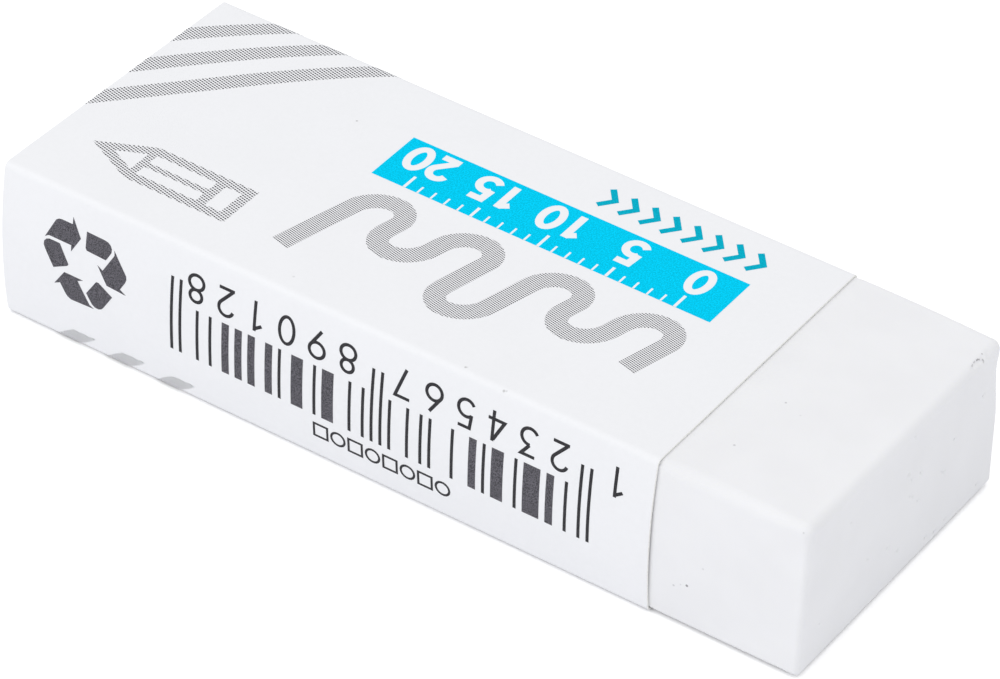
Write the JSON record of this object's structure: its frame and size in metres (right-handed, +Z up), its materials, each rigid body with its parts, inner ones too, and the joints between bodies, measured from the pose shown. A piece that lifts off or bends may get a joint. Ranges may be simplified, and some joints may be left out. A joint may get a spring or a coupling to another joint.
{
  "type": "rubber eraser",
  "caption": "Rectangular block of white drawing rubber in a folded card sleeve that leaves one end bare and slides along the block.",
  "frame": {"origin": "middle of the footprint, on the face that the sleeve lies on", "axes": "+X along the block towards its bare end, +Y across it towards the glued side of the sleeve, +Z up"},
  "size_m": [0.059, 0.0236, 0.0118],
  "materials": {
    "white_rubber": "matt, very slightly translucent white vinyl rubber with softly rounded edges",
    "printed_card": "coated white card with a soft sheen outside, printed in grey, cyan and black"
  },
  "bodies": {
    "sleeve": {"card_sleeve": "printed_card"},
    "block": {"rubber_block": "white_rubber"}
  },
  "joints": [
    {"name": "block_slide", "type": "slide", "parent": "sleeve", "child": "block", "axis": [1, 0, 0], "range_m": [-0.06, 0.05]}
  ]
}
